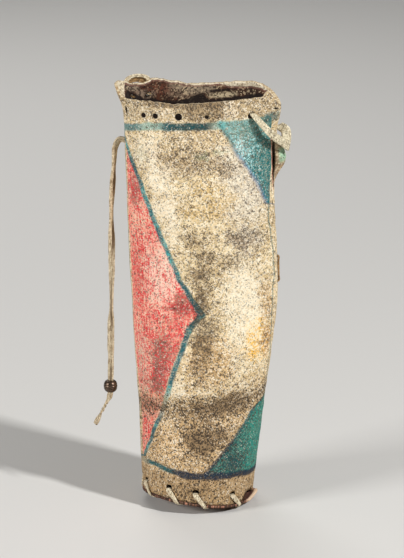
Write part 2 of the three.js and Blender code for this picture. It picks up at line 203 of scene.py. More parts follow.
def stretched(place, x, y):
    return place.node("VectorMath", {0: place, 1: (x, y, 1)}, operation="MULTIPLY")


def charted(value, points, size, reach):  # a line through points, read along value
    found = value.node("FloatCurve", {0: 1, 1: value / size})
    line = found.socket.node.mapping
    ends = line.curves[0].points
    for x, y in points[1:-1]:
        ends.new(x / size, y / reach)
    ends[0].location = (points[0][0] / size, points[0][1] / reach)
    ends[len(ends) - 1].location = (points[-1][0] / size, points[-1][1] / reach)
    for point in ends:
        point.handle_type = "VECTOR"
    line.update()
    return found * reach


def surface(name, specular=0.3):  # a new material, with its shader and its flat coordinates
    made = bpy.data.materials.new(name)
    made.use_nodes = True
    shader = made.node_tree.nodes["Principled BSDF"]
    shader.inputs["Specular IOR Level"].default_value = specular
    flat = Wire(made.node_tree.nodes.new("ShaderNodeTexCoord").outputs["UV"])
    return made, shader, flat


def finished(shader, colour, roughness, height, depth):
    links = shader.id_data.links
    links.new(colour.socket, shader.inputs["Base Color"])
    links.new(roughness.socket, shader.inputs["Roughness"])
    bumped = height.node("Bump", {"Strength": 0.7, "Distance": depth * mm, "Height": height})
    links.new(bumped.socket, shader.inputs["Normal"])


# meshes
def grid(columns, rows, across=1):  # a flat sheet of cells from the origin
    mesh = bmesh.new()
    bmesh.ops.create_grid(mesh, x_segments=columns, y_segments=rows, size=0.5)
    for vert in mesh.verts:
        vert.co = ((vert.co.x + 0.5) * across, vert.co.y + 0.5, 0)
    return mesh


def punched(mesh, holes):  # oval holes in a flat sheet: centre, and reach both ways
    beyond, least, emptied = 3, 1.9, 0.74  # mm looked at past a hole, one cell, and the share that goes
    for x, y, wide, tall in holes:
        away = {v: Vector((v.co.x - x, v.co.y - y)) for v in mesh.verts
                if abs(v.co.x - x) < wide + beyond and abs(v.co.y - y) < tall + beyond}
        reachX, reachY = max(wide, least), max(tall, least)
        gone = [v for v, far in away.items() if math.hypot(far.x / reachX, far.y / reachY) < emptied]
        kept = [v for v in away if v not in gone]
        bmesh.ops.delete(mesh, geom=gone, context="VERTS")
        for vert in kept:
            if vert.is_boundary:
                far = away[vert] / math.hypot(away[vert].x / wide, away[vert].y / tall)
                vert.co = (x + far.x, y + far.y, 0)


def slashed(mesh, left, right):  # a tear between two lines, each read along its height
    beyond, least = 5, 0.95  # mm looked at past the tear, and half a cell
    sides = {v: [follow(line, v.co.y) * perDegree for line in (left, right)] for v in mesh.verts
             if left[0][0] < v.co.y < left[-1][0]}
    off = {v: v.co.x - sum(ends) / 2 for v, ends in sides.items()}
    gone = [v for v, far in off.items() if abs(far) < max((sides[v][1] - sides[v][0]) / 2, least)]
    kept = [v for v, far in off.items() if abs(far) < beyond and v not in gone]
    bmesh.ops.delete(mesh, geom=gone, context="VERTS")
    for vert in kept:
        if vert.is_boundary:
            vert.co.x = sides[vert][0 if off[vert] < 0 else 1]


def mapped(mesh, flatOf, placeOf, weld=False):  # the material's flat coordinates, then each point's place
    uv = mesh.loops.layers.uv.new("flat")
    for face in mesh.faces:
        for corner in face.loops:
            corner[uv].uv = flatOf(corner.vert.co)
    for vert in mesh.verts:
        vert.co = placeOf(vert.co) * mm
    if weld:
        bmesh.ops.remove_doubles(mesh, verts=mesh.verts, dist=0.00001)
        bmesh.ops.recalc_face_normals(mesh, faces=mesh.faces)


def dressed(name, mesh, materials, node, slot, thickness=None, **settings):  # thickness in mm
    data = bpy.data.meshes.new(name)
    mesh.to_mesh(data)
    mesh.free()
    for face in data.polygons:
        face.use_smooth = True
    for material in materials:
        data.materials.append(material)
    piece = bpy.data.objects.new(name, data)
    scene.collection.objects.link(piece)
    if thickness:
        solid = piece.modifiers.new("solidify", "SOLIDIFY")
        solid.thickness = thickness * mm
        solid.offset = 0
        for key, value in settings.items():
            setattr(solid, key, value)
    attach(piece, "root")
    if node:
        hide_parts(node)
    print(name, "made")
    return piece


# the shapes of the hide and the base
hideSheet = {
    "thickness": 2.2,
    "base": 100,  # across its foot
    "tuck": 6,  # of its left edge, under the lap
    "margin": 20,  # of the lap
    "under": 2.5,  # how far in the tucked edge lies
    "untucked": (22, 32),  # mm along, where it's back out
    "columns": 178, "rows": 192,
    "pinch": {"share": 0.08, "from": 97, "over": 288},
    "stations": [  # height, size from front to back, lean to the right
        (9, 100, 0), (97, 84, 3.1), (200, 61.5, 5.7), (303, 61.5, 1.9), (363, 52.5, 2.3),
        (389, 47, 1.6),
    ],
    "rim": [  # turn, height
        (0, 369.5), (6.6, 375), (10.4, 378.7), (16.7, 382.5), (23.5, 386), (30.7, 387.3),
        (53.6, 386.2), (55.8, 385.2), (89, 383.6), (104, 383.1), (111.6, 385.3), (118.4, 385.7),
        (125.7, 387.3), (134, 389), (140.4, 389), (148, 385.2), (160, 385), (172, 389), (179, 388.4),
        (185, 379), (190, 376.8), (219, 377.5), (244, 375.5), (270, 376.9), (301, 378.3),
        (321, 379.2), (337, 379.6), (341, 385), (345, 381.5), (350, 376), (355, 371.5), (360, 369.5),
    ],
    "ragged": [(5, 2.2, 0.7), (1.7, 5.2, 0.35)],  # size, seed and depth, at the rim
    "footRagged": (4, 8.3, 0.8),
    "footLift": 2.5,  # above the base's edge
    "bite": {"depth": 8, "turns": (318, 331, 343, 356)},
    "ear": {"out": 6, "turn": 172, "reach": 30, "from": 363, "full": 389},
    "corner": {"out": 2, "turn": 0, "reach": 22, "from": 345, "full": 369},
    "crease": {"depth": 4.5, "height": 97, "slope": 0.08, "soft": 15, "turns": (182, 225, 310, 356)},
    "dents": [(40, 45, 3.1, 0.9), (14, 20, 7.7, 0.35)],  # size both ways, seed, depth
    "calm": (357, 8, 24),  # no dents at this turn, and full ones beyond these degrees from it
    "ripple": (9, 8, 5.5, 0.6), "rippleReach": 28,
}
base = {
    "radius": 50.8, "columns": 144, "rows": 26,
    "flat": 20,  # the radius that stands on the ground
    "full": 45.5,  # the radius where its edge is lifted in full
    "lift": 7,
    "lean": (2.5, 215),  # mm, and the turn where it's highest
    "wave": (2.5, 5),
    "curl": {"turn": 348, "reach": 20, "out": 4, "up": 5, "from": 50.4, "full": 54.8, "outer": 0.98},
    "fray": {"from": 46, "full": 50, "size": 3, "seed": 1.4, "out": 0.7, "up": 0.5},
    "flatSize": 100,  # mm to one of its flat coordinates
    "tones": {
        "tan": (150, 110, 74), "brown": (112, 78, 52), "pink": (192, 136, 112),
        "shadeBrown": (54, 33, 26), "insideShade": (34, 22, 17), "pepper": (54, 34, 26),
        "pale": (206, 166, 130), "curl": (92, 62, 54), "lip": (222, 192, 162),
    },
}
half = hideSheet["thickness"] / 2
girth = math.pi * (hideSheet["base"] - hideSheet["thickness"])
perDegree = girth / 360
flatTall = 400  # mm to one of the hide's flat coordinates, upwards
chartSpan = 400  # the size of the charts of its paint
layOff = 1.1  # from a face to the middle of a thong lying on it


def pressed(height):  # size from front to back, and lean to the right
    stops = hideSheet["stations"]
    height = min(max(height, stops[0][0]), stops[-1][0] - 0.001)
    slopes = [[(b[c] - a[c]) / (b[0] - a[0]) for a, b in zip(stops, stops[1:])] for c in (1, 2)]
    k = max(i for i in range(len(stops) - 1) if stops[i][0] <= height)
    step = stops[k + 1][0] - stops[k][0]
    p = (height - stops[k][0]) / step
    found = []
    for c, slope in zip((1, 2), slopes):
        low = (slope[max(k - 1, 0)] + slope[k]) / 2
        high = (slope[k] + slope[min(k + 1, len(slope) - 1)]) / 2
        curve = (2 * p**3 - 3 * p**2 + 1) * stops[k][c] + (3 * p**2 - 2 * p**3) * stops[k + 1][c]
        found.append(curve + step * ((p**3 - 2 * p**2 + p) * low + (p**3 - p**2) * high))
    return found


def ring(height):  # the hide's middle line at each degree, with the way out
    steps, halvings = 720, 40
    depth, lean = pressed(height)
    b = depth / 2 - half
    low, high = 0, girth / 3
    for _ in range(halvings):
        a = (low + high) / 2
        if math.pi * (3 * (a + b) - math.sqrt((3 * a + b) * (a + 3 * b))) < girth:
            low = a
        else:
            high = a
    pinch = hideSheet["pinch"]
    narrow = pinch["share"] * min(max((height - pinch["from"]) / pinch["over"], 0), 1)
    angles = [2 * math.pi * i / steps for i in range(steps + 1)]
    line = [Vector((lean + a * math.cos(t), b * math.sin(t) * (1 - narrow * math.cos(t)))) for t in angles]
    lengths = measured(line)
    spots, k = [], 0
    for degree in range(361):
        length = lengths[-1] * degree / 360
        while k < steps - 1 and lengths[k + 1] < length:
            k += 1
        along = (line[k + 1] - line[k]).normalized()
        at = line[k] + along * (length - lengths[k])
        spots.append(Vector((at.x, at.y, along.y, -along.x)))
    return spots


ringStep, ringTop = 4, 408
rings = [ring(height) for height in range(0, ringTop + 1, ringStep)]


def flared(turn, height, form):
    risen = smooth(height, form["from"], form["full"])
    return form["out"] * risen * bump(apart(turn, form["turn"]), form["reach"])


def dented(turn, height, across, tall, seed, depth):
    return noise.noise((turn / across, height / tall, seed)) * depth


def pushed(turn, height):  # out of the rolled shape: the flared ear and corner, the crease, and dents
    fold, (lap, near, far) = hideSheet["crease"], hideSheet["calm"]
    flare = flared(turn, height, hideSheet["ear"]) + flared(turn, height, hideSheet["corner"])
    away = (height - fold["height"] - fold["slope"] * (turn - 270)) / fold["soft"]
    crease = fold["depth"] * math.exp(-away * away) * between(turn, *fold["turns"])
    dent = sum(dented(turn, height, *sizes) for sizes in hideSheet["dents"])
    ripple = dented((turn + 180) % 360, height, *hideSheet["ripple"])
    ripple *= bump(apart(turn, 0), hideSheet["rippleReach"])
    return flare - crease + dent * smooth(apart(turn, lap), near, far) + ripple


def wall(turn, height, out=0):
    row, column = height / ringStep, turn % 360
    i, j = int(row), int(column)
    low = rings[i][j].lerp(rings[i][j + 1], column - j)
    high = rings[i + 1][j].lerp(rings[i + 1][j + 1], column - j)
    x, y, outX, outY = low.lerp(high, row - i)
    out += pushed(turn, height)
    return Vector((x + outX * out, y + outY * out, height))


def outward(turn, height):
    sideways = wall(turn + 1, height) - wall(turn - 1, height)
    return sideways.cross(wall(turn, height + 1) - wall(turn, height - 1)).normalized()


def around(turn, radius, height):
    angle = math.radians(turn)
    return Vector((radius * math.cos(angle), radius * math.sin(angle), height))


def raggedBy(turn, size, seed, depth):
    return noise.noise((turn / size, seed, 0)) * depth


def curled(turn):  # 1 at the middle of the base's curl
    return bump(apart(turn, base["curl"]["turn"]), base["curl"]["reach"])


def edgeHeight(turn):  # the base's warped edge
    (lean, high), (wave, start) = base["lean"], base["wave"]
    tipped = lean * math.cos(math.radians(turn - high))
    return base["lift"] + tipped + wave * math.sin(math.radians(2 * (turn - start)))


def edgeRadius(turn):
    return base["radius"] + base["curl"]["out"] * curled(turn)


def baseRise(turn, radius):
    curl = base["curl"]["up"] * curled(turn) * smooth(radius, base["curl"]["from"], base["curl"]["full"])
    return edgeHeight(turn) * smooth(radius, base["flat"], base["full"]) + curl


def footHeight(turn):  # with a bite torn out of it above the base's curl
    bite = hideSheet["bite"]
    return edgeHeight(turn) + hideSheet["footLift"] + bite["depth"] * between(turn, *bite["turns"])


def rimHeight(turn):
    ragged = sum(raggedBy(turn, *sizes) for sizes in hideSheet["ragged"])
    return follow(hideSheet["rim"], turn % 360) + ragged


# the painted hide
hidePaint = {
    "tones": {
        "cream": (236, 213, 168), "tan": (217, 190, 142), "warm": (202, 161, 110),
        # grimeAndShade and soilAndShade darken dirt and painted shade alike; crease is painted shade along
        # the crease
        "rim": (188, 164, 126), "grimeAndShade": (124, 101, 72), "bleached": (250, 238, 210),
        "crease": (132, 108, 78), "foot": (160, 128, 86), "footStreak": (218, 188, 146),
        "rubbed": (150, 122, 86), "bright": (254, 246, 226), "fleck": (250, 240, 218),
        "soilAndShade": (116, 94, 68), "pepper": (58, 46, 34), "teal": (2, 92, 96), "ink": (0, 70, 74),
        "wash": (72, 182, 180), "green": (24, 133, 119), "navy": (18, 38, 58),
        "red": (226, 48, 56), "rose": (252, 200, 174), "scratch": (120, 46, 50),
        "ochre": (204, 160, 74), "chalk": (184, 232, 230), "clean": (0, 96, 96),
        "cleanLight": (0, 112, 110), "greyed": (96, 138, 128), "white": (230, 236, 230),
        "outline": (8, 92, 102), "blue": (72, 112, 156), "bandTeal": (4, 110, 118),
        "torn": (140, 108, 78), "tearEdge": (214, 116, 100), "yellow": (214, 168, 44),
        "leaf": (132, 190, 158),
    },
    "mirror": 181,  # the front's design is repeated behind this turn
    "stainsShadeAndLight": [  # stains, with painted shade along the crease and a painted highlight: turn, height, reach both ways, colour, strength, added dirt and shade
        # painted highlight on the lit right front
        (312, 200, 19, 42, (250, 238, 212), 0.5, -0.3),
        (326, 168, 12, 18, (250, 234, 198), 0.4, -0.2),
        (333, 160, 13, 18, (248, 210, 132), 0.8, 0),
        (327, 168, 11, 12, (255, 192, 36), 1, -0.1),
        (325, 151, 11, 12, (255, 192, 36), 1, -0.1),
        # yellow stain, darkened as painted shade at the right edge
        (340, 157, 8, 14, (206, 152, 80), 0.9, 0.1),
        (338, 190, 8, 24, (206, 164, 108), 0.7, 0.05),
        (318, 300, 26, 36, (206, 200, 192), 0.6, -0.05),
        (296, 330, 12, 12, (236, 230, 214), 0.5, -0.15),
        (281, 299, 17, 9, (224, 190, 124), 0.7, -0.1),
        (275, 279, 18, 9, (220, 184, 116), 0.7, 0),
        (297, 289, 13, 9, (220, 184, 116), 0.6, 0),
        (230, 369, 22, 4, (232, 210, 174), 0.4, -0.12),
        (301, 371, 7, 9, (240, 222, 192), 0.5, -0.12),
        (316, 252, 19, 13, (150, 146, 152), 0.49, 0.45),
        (300, 318, 12, 10, (198, 178, 148), 0.33, 0.3),
        (272, 237, 13, 6, (124, 102, 80), 0.33, 0.6),
        (266, 190, 9, 12, (110, 90, 66), 0.5, 0.66),
        (267, 208, 9, 14, (140, 120, 92), 0.3, 0.5),
        (266, 223, 13, 7, (124, 102, 76), 0.33, 0.6),
        (262, 254, 14, 9, (168, 146, 114), 0.33, 0.4),
        (267, 138, 9, 20, (140, 114, 82), 0.3, 0.45),
        (306, 150, 10, 24, (248, 234, 202), 0.3, -0.15),
        (301, 232, 14, 9, (150, 130, 108), 0.26, 0.45),
        (271, 171, 15, 12, (140, 114, 80), 0.42, 0.6),
        (269, 158, 10, 10, (152, 124, 86), 0.35, 0.5),
        (243, 116, 10, 10, (242, 220, 182), 0.6, -0.3),
        (278, 143, 24, 22, (212, 166, 106), 0.6, 0.12),
        (258, 334, 36, 24, (202, 176, 136), 0.6, 0.16),
        (254, 324, 26, 12, (182, 158, 122), 0.35, 0.15),
        (278, 322, 20, 11, (180, 154, 118), 0.35, 0.18),
        (284, 333, 12, 6, (238, 218, 180), 0.3, -0.1),
        (214, 332, 14, 16, (248, 232, 204), 0.6, -0.25),
        (229, 309, 12, 14, (246, 230, 202), 0.6, -0.25),
        (233, 284, 13, 12, (246, 228, 198), 0.6, -0.2),
        (241, 262, 10, 18, (248, 228, 194), 0.5, -0.25),
        (271, 329, 7, 4, (96, 136, 104), 0.6, 0.2),
        (292, 333, 10, 3, (110, 148, 112), 0.45, 0),
        (208, 329, 7, 7, (128, 156, 122), 0.25, 0),
        # painted shade along the crease, in this line and the next
        (304, 101, 22, 9, (122, 102, 78), 0.36, 0.65),
        (280, 96, 22, 9, (128, 104, 76), 0.36, 0.6),
        (278, 72, 22, 13, (130, 106, 78), 0.5, 0.7),
        (268, 62, 16, 10, (150, 120, 84), 0.33, 0.5),
        (232, 62, 22, 16, (226, 184, 128), 0.65, 0),
        (240, 58, 14, 12, (234, 200, 152), 0.5, -0.1),
        # painted shade along the crease
        (205, 97, 18, 9, (132, 104, 82), 0.52, 0.5),
        (222, 26, 22, 9, (206, 170, 122), 0.8, -0.2),
        (312, 26, 16, 9, (214, 184, 142), 0.8, -0.2),
        (265, 25, 16, 9, (140, 114, 80), 0.39, 0.3),
    ],
    "reds": [  # turn, height, reach both ways, colour, strength
        (230, 224, 18, 22, (255, 216, 196), 1),
        (222, 203, 15, 13, (255, 208, 188), 0.8),
        (222, 246, 12, 12, (254, 200, 178), 0.55),
        (203, 268, 10, 9, (252, 200, 170), 0.6),
        (256, 190, 12, 10, (192, 34, 40), 0.9),
        (238, 177, 10, 8, (206, 46, 54), 0.6),
        (195, 215, 8, 30, (208, 48, 56), 0.6),
        (199, 296, 8, 13, (140, 34, 46), 0.9),
        (225, 146, 10, 20, (112, 28, 34), 0.95),
        (222, 122, 9, 14, (108, 34, 38), 0.95),
        (246, 195, 9, 9, (140, 30, 38), 0.9),
        (240, 150, 8, 14, (184, 34, 44), 0.7),
        (232, 126, 7, 10, (178, 40, 54), 0.6),
        (199, 140, 8, 24, (206, 166, 148), 0.7),
        (203, 114, 10, 12, (186, 152, 130), 0.7),
    ],
    "redEdge": [  # height, turn
        (0, 150), (40, 180), (47, 199.7), (63.9, 212.8), (81.4, 218.9), (95.8, 226.6),
        (112.5, 233.4), (128.7, 239), (143.7, 244.6), (157.5, 249.5), (172.3, 256.5), (184.2, 268.9),
        (200.6, 256.4), (215, 245.6), (229.6, 239), (254, 228.3), (271, 220.6), (289.7, 212.6),
        (309.6, 203.6), (332.6, 190.4), (345, 181), (400, 150),
    ],
    "redStart": [
        (0, 197), (78, 194.7), (115, 190), (161, 185), (190, 185.6), (219, 188), (247, 187.6),
        (270, 187), (293, 185.6), (321, 188), (345, 189), (400, 190),
    ],
    "upperEdge": [
        (0, 400), (270, 400), (282.8, 342.7), (309.5, 327.6), (326.9, 312), (339.9, 303.2),
        (355.4, 290.7), (400, 262),
    ],
    "upperEnd": [(0, 347), (290, 347), (305, 348.5), (320, 350.2), (342, 347), (400, 346)],
    "lowerEdge": [
        (0, 240), (41.5, 279.3), (53.9, 291.7), (74, 310.8), (92.8, 331.4), (101, 352), (112, 400),
        (400, 400),
    ],
    "sideLine": [
        (0, 352), (142, 349.8), (168, 347), (198, 346), (218, 349), (239, 347.9), (252, 346.4),
        (265, 344.7), (290, 345.5), (400, 346),
    ],
    "tornLine": [(0, 362), (297, 355), (342, 348), (400, 346)],
    "topLine": [  # turn, height
        (0, 350), (180, 350), (218, 355.3), (249.5, 355.6), (275, 356.2), (290.7, 357.2),
        (343, 360.2), (400, 361),
    ],
    "footLine": [
        (0, 41), (197.6, 41.6), (217.5, 43.1), (231.7, 41.2), (247, 38.7), (260, 36.9), (285, 36.6),
        (318, 34.5), (337, 32.5), (400, 31),
    ],
    "topStrength": [  # turn, strength
        (0, 0.8), (180, 0.9), (203, 0.85), (211, 0.62), (226, 0.62), (236, 1), (276, 1), (284, 0.7),
        (294, 0.4), (302, 0), (400, 0),
    ],
}


def spread(place, ragged, turn, height, reachX, reachY):  # 1 in the middle of a ragged oval, for stains, painted shade and a painted highlight
    scale = (1 / reachX, 1 / reachY, 0)
    shift = (-turn * perDegree / reachX, -height / reachY, 0)
    off = place.node("VectorMath", {0: place, 1: scale, 2: shift}, operation="MULTIPLY_ADD")
    far = off.node("VectorMath", {0: off, 1: off}, out=1, operation="DOT_PRODUCT")
    return rise(far + ragged, 1.6, 0.1)


def hideOutside():
    made, shader, uv = surface("painted_hide")
    hue = hues(hidePaint)
    turn = axis(uv, 0) * 360
    height = axis(uv, 1) * flatTall
    flat = joined(turn * perDegree, height)
    salt, pepper, worn = cells(flat, 0.95)
    fine = grain(flat, 1.35, 3, 0.75)
    specks = grain(flat, 3.4, 4, 0.7)
    blotch = grain(flat, 26, 4, 0.65)
    clump = grain(flat, 5.5, 3, 0.7)
    ragged = (grain(flat, 8, 6, 0.82) - 0.5) * 4
    shifted = [(grain(flat, size, 4, 0.7) - 0.5) * 29 for size in (11, 9)]
    loose = joined(turn * perDegree + shifted[0], height + shifted[1])
    mottle = specks - 0.5
    rimward = rise(height, 357, 365)
    aboveFoot = rise(height, 33, 40)
    footward = 1 - aboveFoot
    colour = mixed(rise(blotch, 0.36, 0.64), hue["cream"], hue["tan"])
    colour = mixed((1 - rise(height, 70, 160)) * 0.65, colour, hue["warm"])
    colour = mixed(rimward * 0.75, colour, hue["rim"])
    dirtAndShade = (blotch - 0.45) * 0.8 + (clump - 0.5) * 1.7 + rimward * (0.1 + 0.6 * band(turn - 273, 20, 8))
    # darker along the top edge of the front rim
    dirtAndShade = dirtAndShade + rise(height, 370, 374) * (0.2 + 0.35 * band(turn - 252, 42, 12))
    dirtAndShade = dirtAndShade + 0.2 * (1 - rise(height, 80, 130))
    broken = rise(specks, 0.24, 0.54)
    for *oval, shade, tint, soilAndShade in hidePaint["stainsShadeAndLight"]:
        spot = spread(loose, ragged, *oval)
        colour = mixed(spot * broken * tint, colour, tone(*shade))
        dirtAndShade = dirtAndShade + spot * soilAndShade
    # darker with dirt and with the painted crease shade
    colour = mixed(rise(dirtAndShade + mottle * 2.4, 0.2, 0.95) * 0.38, colour, hue["grimeAndShade"])
    colour = mixed(rise(mottle * 1.4 - dirtAndShade, 0, 0.5) * 0.5, colour, hue["bleached"])
    fold = height - 99 - (turn - 270) * 0.1 + ragged * 5  # the shape's crease, with its painted shade spread raggedly
    # painted shade along the crease, stronger from the left towards the front
    creaseShade = band(fold, 7, 9) * (0.55 + 0.45 * rise(turn, 200, 250))
    colour = mixed(creaseShade * 0.45, colour, hue["crease"])
    colour = mixed(footward * 0.7, colour, hue["foot"])
    streaks = grain(stretched(flat, 0.45, 0.05), 1, 3, 0.65)
    colour = mixed(footward * rise(streaks, 0.46, 0.62) * 0.55, colour, hue["footStreak"])
    rubbed = rise(worn + dirtAndShade * 0.3 - mottle * 0.4, 0.66, 0.96)
    colour = mixed(rubbed * 0.5, colour, hue["rubbed"])
    bright = rise(salt - dirtAndShade * 0.3 + mottle * 0.3 - 0.18 * footward, 0.52, 0.9)
    colour = mixed(bright * 0.62, colour, hue["bright"])
    colour, laid, rosy = painted(colour, turn, height, flat, fine, clump, worn, (loose, ragged))
    unpainted = 1 - laid * 0.1
    flecks = rise(salt + pepper, 1.36, 1.66) * (0.08 + 0.37 * aboveFoot) * unpainted
    colour = mixed(flecks, colour, hue["fleck"])
    dirtAndShade = dirtAndShade + creaseShade * 0.5 - rosy * 0.24 - laid * 0.1
    colour = mixed(rise(fine + dirtAndShade * 0.16, 0.56, 0.66) * 0.4, colour, hue["soilAndShade"])
    soiledAndShaded = rise(dirtAndShade, -0.5, 0.9) * 0.44 - 0.16
    dark = rise(pepper + soiledAndShaded + mottle, 0.62, 0.97) * (0.94 - 0.14 * rise(height, 110, 150))
    colour = mixed(dark * unpainted, colour, hue["pepper"])
    finished(shader, colour, 0.58 + fine * 0.3, fine * 0.5 + specks * 0.5 + blotch, 1)
    return made


def painted(colour, turn, height, flat, fine, clump, worn, stained):  # worn paint, over the bare colour
    hue, mirror = hues(hidePaint), hidePaint["mirror"]
    behind = 1 - rise(turn, mirror - 1, mirror + 1.5)
    across = abs(turn - mirror) + mirror + (grain(flat, 13, 3) - 0.5) * 4
    tall = height + (grain(flat, 11, 3) - 0.5) * 4
    patch = grain(flat, 17, 3, 0.65)
    uneven = patch - 0.5
    clumped = clump - 0.5
    streak = grain(stretched(flat, 0.6, 0.08), 1, 3, 0.65)
    solid = 1 - rise(worn * 0.45 + fine * 0.55 + uneven * 0.4, 0.48, 0.74)
    edgy = (fine - 0.5) * 2.4

    def line(value, name):
        return charted(value, hidePaint[name], chartSpan, chartSpan)

    def laidOn(share, paint, least=0.4, more=0.56):  # thinner where it's worn
        return mixed(share * (least + more * solid), colour, paint)

    redBy = (line(tall, "redEdge") - across) * perDegree + edgy  # mm into the red triangle
    begin = line(height, "redStart")
    begin = begin - behind * (begin - (mirror + 0.5))
    thin = worn * 0.4 + streak * 1.3 + patch * 0.4 + clump * 0.5
    red = mixed(rise(thin, 1.05, 1.65), hue["red"], hue["rose"])
    broken = rise(streak + worn * 0.4, 0.4, 0.85)
    for *oval, shade, tint in hidePaint["reds"]:
        red = mixed(spread(*stained, *oval) * broken * tint, red, tone(*shade))
    scratch = band(height - 189 + uneven * 8, 1.2, 0.8) * rise(across, 218, 234)
    red = mixed(scratch * 0.5, red, hue["scratch"])
    red = mixed(behind, red, hue["ochre"])
    pale = band(height - 97, 11, 9) * 0.55
    inRed = rise(redBy + 1.2 * rise(height, 172, 190), 2, 3.6) * rise(across - begin, -1, 1)
    rosy = inRed * (0.68 + 0.3 * solid - pale)
    colour = mixed(rosy, colour, red)

    upperBy = (across - line(tall, "upperEdge")) * perDegree + edgy  # mm into the upper triangle
    topBy = tall - line(across, "topLine") + edgy * 0.6
    clean = rise(across + uneven * 50 + clumped * 60 + (worn - 0.5) * 70, 280, 325)
    chalky = mixed(clean, hue["chalk"], mixed(patch, hue["clean"], hue["cleanLight"]))
    chalky = mixed(rise(height, 340, 352) * 0.6, chalky, hue["greyed"])
    white = 1 - rise(abs(across - 312) * 0.1 + abs(height - 334) * 0.08 + (fine - 0.5) * 2, 0.3, 1.3)
    chalky = mixed(white * rise(worn * 0.5 + patch, 0.6, 0.9) * 0.8, chalky, hue["white"])
    past = rise(across - line(height, "upperEnd"), -0.6, 0.6)
    inUpper = rise(upperBy, -1.5, 1.5) * (1 - rise(topBy, 1, 4)) * (1 - past)
    colour = laidOn(inUpper, chalky, 0.7, 0.29)

    lowerBy = (across - line(tall, "lowerEdge")) * perDegree + edgy  # mm into the lower triangle
    footBy = tall - line(across, "footLine") + edgy * 0.5
    inLower = rise(lowerBy, -1, 1) * rise(footBy, -1, 1)
    greener = rise(patch * 0.5 + worn * 0.3 + rise(across, 308, 336) * 0.3, 0.36, 0.62)
    colour = laidOn(inLower, mixed(greener, hue["ink"], hue["green"]), 0.85, 0.14)

    tip = band(height - 184, 18, 14)  # where the red triangle's long sides meet
    outline = band(redBy - tip * 1.2, 2.3 + 1.2 * tip, 1) * rise(across, mirror, mirror + 2)
    outline = outline * (1 - 0.6 * band(height - 99, 11, 6))
    washed = rise(patch + clumped * 0.5 - tip * 0.1, 0.46, 0.64) * 0.7
    edging = mixed(washed, mixed(tip, hue["outline"], hue["ink"]), hue["wash"])
    colour = laidOn(outline, edging, 0.62, 0.36)
    upperLine = band(upperBy, 2.2, 1.6) * (1 - rise(topBy, 0, 3)) * 0.6
    colour = laidOn(upperLine, mixed(rise(height, 326, 344), hue["blue"], hue["teal"]))
    sideLine = band((across - line(height, "sideLine")) * perDegree, 0.8, 0.6) * rise(height, 100, 108)
    sideLine = sideLine * (1 - rise(height, 352, 358)) * rise(patch, 0.36, 0.5)
    leftLine = band((turn - (mirror + 2.4)) * perDegree, 1, 0.6) * rise(height, 42, 46)
    leftLine = leftLine * (1 - rise(height, 346, 352))
    corner = band(topBy - 1, 4, 2) * band(across - 347, 9, 3)
    for stroke in (sideLine * 0.85, leftLine * 0.75, corner * 0.8):
        colour = laidOn(stroke, hue["teal"])

    strength = charted(across, hidePaint["topStrength"], chartSpan, 1)
    darker = mixed(rise(across + uneven * 20, 226, 242), hue["bandTeal"], hue["ink"])
    inked = mixed(1 - rise(strength, 0.4, 0.9), darker, hue["wash"])
    topBand = band(topBy, 3.4, 1.2) * strength
    colour = laidOn(topBand, inked, 0.88, 0.11)
    deep = mixed(rise(across + uneven * 20, 232, 246), hue["teal"], hue["navy"])
    footReach = 2.6 + 0.8 * band(across - 270, 26, 10) + uneven * 3
    footBand = band(footBy, footReach, 1.1) * (0.5 + 0.5 * rise(across, 200, 212))
    colour = laidOn(footBand, deep, 0.84, 0.15)
    lowerLine = band(lowerBy, 2.2, 1.3) * rise(footBy, -2, 0)
    colour = laidOn(lowerLine, mixed(rise(height, 64, 84), hue["navy"], hue["teal"]))

    torn = band(height - 319, 24, 6)
    byTear = (turn - line(height, "tornLine")) * perDegree
    # the torn flap is brown, and darker as painted shade under the tie
    frayedAndShaded = torn * rise(byTear, 0, 2) * (0.35 + 0.5 * rise(clump, 0.44, 0.56))
    colour = mixed(frayedAndShaded, colour, hue["torn"])
    colour = mixed(torn * band(byTear + 0.2, 1.1, 0.6) * 0.8, colour, hue["tearEdge"])
    yellow = band((turn - (mirror + 0.4)) * perDegree, 1.7, 0.5) * band(height - 278, 9, 3)
    colour = mixed(yellow * 0.9, colour, hue["yellow"])
    leaf = band((turn - 361) * perDegree, 3.4, 1.5) * band(height - 324, 6, 3)
    colour = mixed(leaf * 0.75, colour, hue["leaf"])
    return colour, inUpper + inLower + outline + topBand + footBand, rosy


bareHide = {
    "tones": {
        "brown": (88, 50, 32), "dun": (72, 48, 34), "salt": (216, 190, 152),
        "pepper": (42, 26, 20), "slit": (30, 18, 14), "shadeBrown": (28, 18, 14),
        "ivory": (214, 196, 162), "white": (240, 228, 202), "mark": (132, 108, 84),
        "pink": (178, 130, 114), "cut": (224, 206, 170), "cutBrown": (168, 138, 100),
        "holeShade": (36, 25, 18),
    },
    "slit": (68, 7.2),  # turn, and depth below the rim, of the painted shade over a crumple in the back wall
    "shadeFrom": [  # turn, and depth below the rim where the painted shade inside the mouth begins
        (0, 4), (21, 7.9), (37, 13), (56, 14), (79, 15.4), (85, 12), (90, 9.4), (95, 10.5),
        (100, 12.8), (111, 17.3), (132, 20.2), (147, 15.2), (157, 10.4), (166, 7.4), (170, 13),
        (176, 19), (190, 16), (400, 16),
    ],
    "spots": [  # turn, depth below the rim, reach both ways, colour, strength
        (131, 9, 16, 5, (112, 64, 46), 0.8),
        (95, 5, 22, 5, (190, 170, 142), 0.6),
        (110, 11, 14, 5, (160, 138, 114), 0.45),
        (66, 11.4, 14, 3, (210, 190, 154), 0.95),
        (36, 10, 11, 4, (56, 38, 30), 0.7),
        (160, 5, 6, 3, (178, 158, 134), 0.7),
        (151, 9.5, 6, 3.5, (168, 148, 126), 0.65),
        (143, 14, 6, 4, (150, 130, 110), 0.6),
    ],
}


